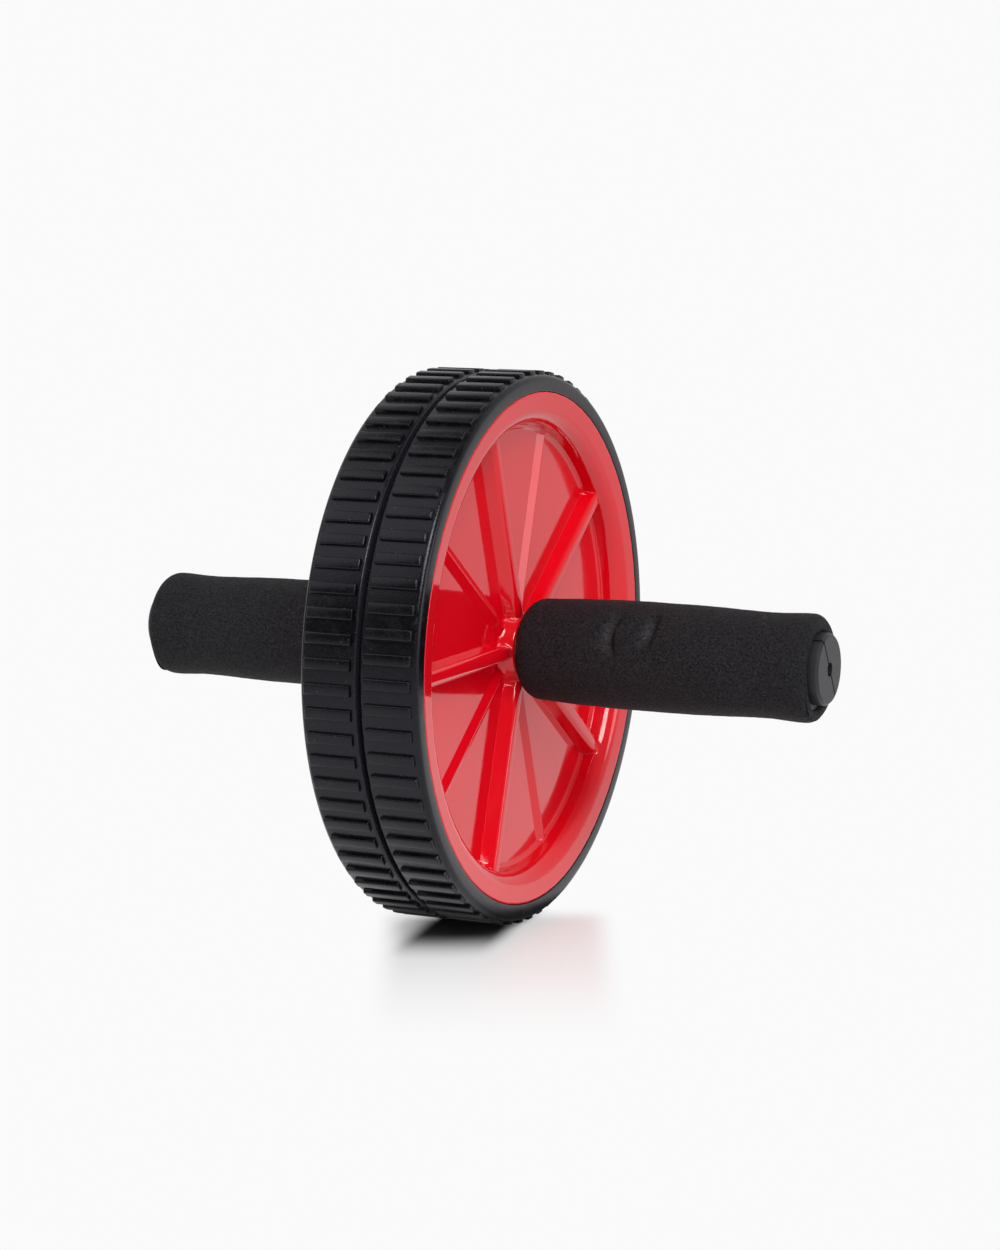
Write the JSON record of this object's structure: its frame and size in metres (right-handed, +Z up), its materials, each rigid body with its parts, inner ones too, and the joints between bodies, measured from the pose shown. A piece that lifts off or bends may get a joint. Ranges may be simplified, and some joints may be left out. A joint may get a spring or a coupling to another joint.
{
  "type": "ab wheel roller",
  "caption": "Exercise roller: lugged tyres on ribbed moulded wheels that spin freely on a steel axle, with foam grips over split plastic handle cores at its ends.",
  "frame": {"origin": "middle of the axle, half-way between the wheels", "axes": "+X along the axle towards the right grip, +Z up, the wheels stand on a floor at the lowest Z"},
  "size_m": [0.248, 0.186, 0.186],
  "materials": {
    "tread_rubber": "satin moulded rubber",
    "red_moulding": "polished red moulding",
    "bush_plastic": "natural nylon",
    "axle_steel": "drawn bar",
    "core_plastic": "matt black moulding",
    "grip_foam": "closed-cell foam"
  },
  "bodies": {
    "handlebar": {"axle_rod": "axle_steel", "centre_spacer": "bush_plastic", "left_thrust_washer": "bush_plastic", "right_thrust_washer": "bush_plastic", "left_core_pegged_half": "core_plastic", "right_core_pegged_half": "core_plastic", "left_core_holed_half": "core_plastic", "right_core_holed_half": "core_plastic", "left_foam_grip": "grip_foam", "right_foam_grip": "grip_foam"},
    "left_wheel": {"left_tyre": "tread_rubber", "left_wheel_rim": "red_moulding", "left_wheel_disc": "red_moulding", "left_hub_bush": "bush_plastic"},
    "right_wheel": {"right_tyre": "tread_rubber", "right_wheel_rim": "red_moulding", "right_wheel_disc": "red_moulding", "right_hub_bush": "bush_plastic"}
  },
  "joints": [
    {"name": "left_wheel_spin", "type": "hinge", "parent": "handlebar", "child": "left_wheel", "pos_m": [-0.01075, 0, 0], "axis": [1, 0, 0], "continuous": true},
    {"name": "right_wheel_spin", "type": "hinge", "parent": "handlebar", "child": "right_wheel", "pos_m": [0.01075, 0, 0], "axis": [1, 0, 0], "continuous": true}
  ]
}
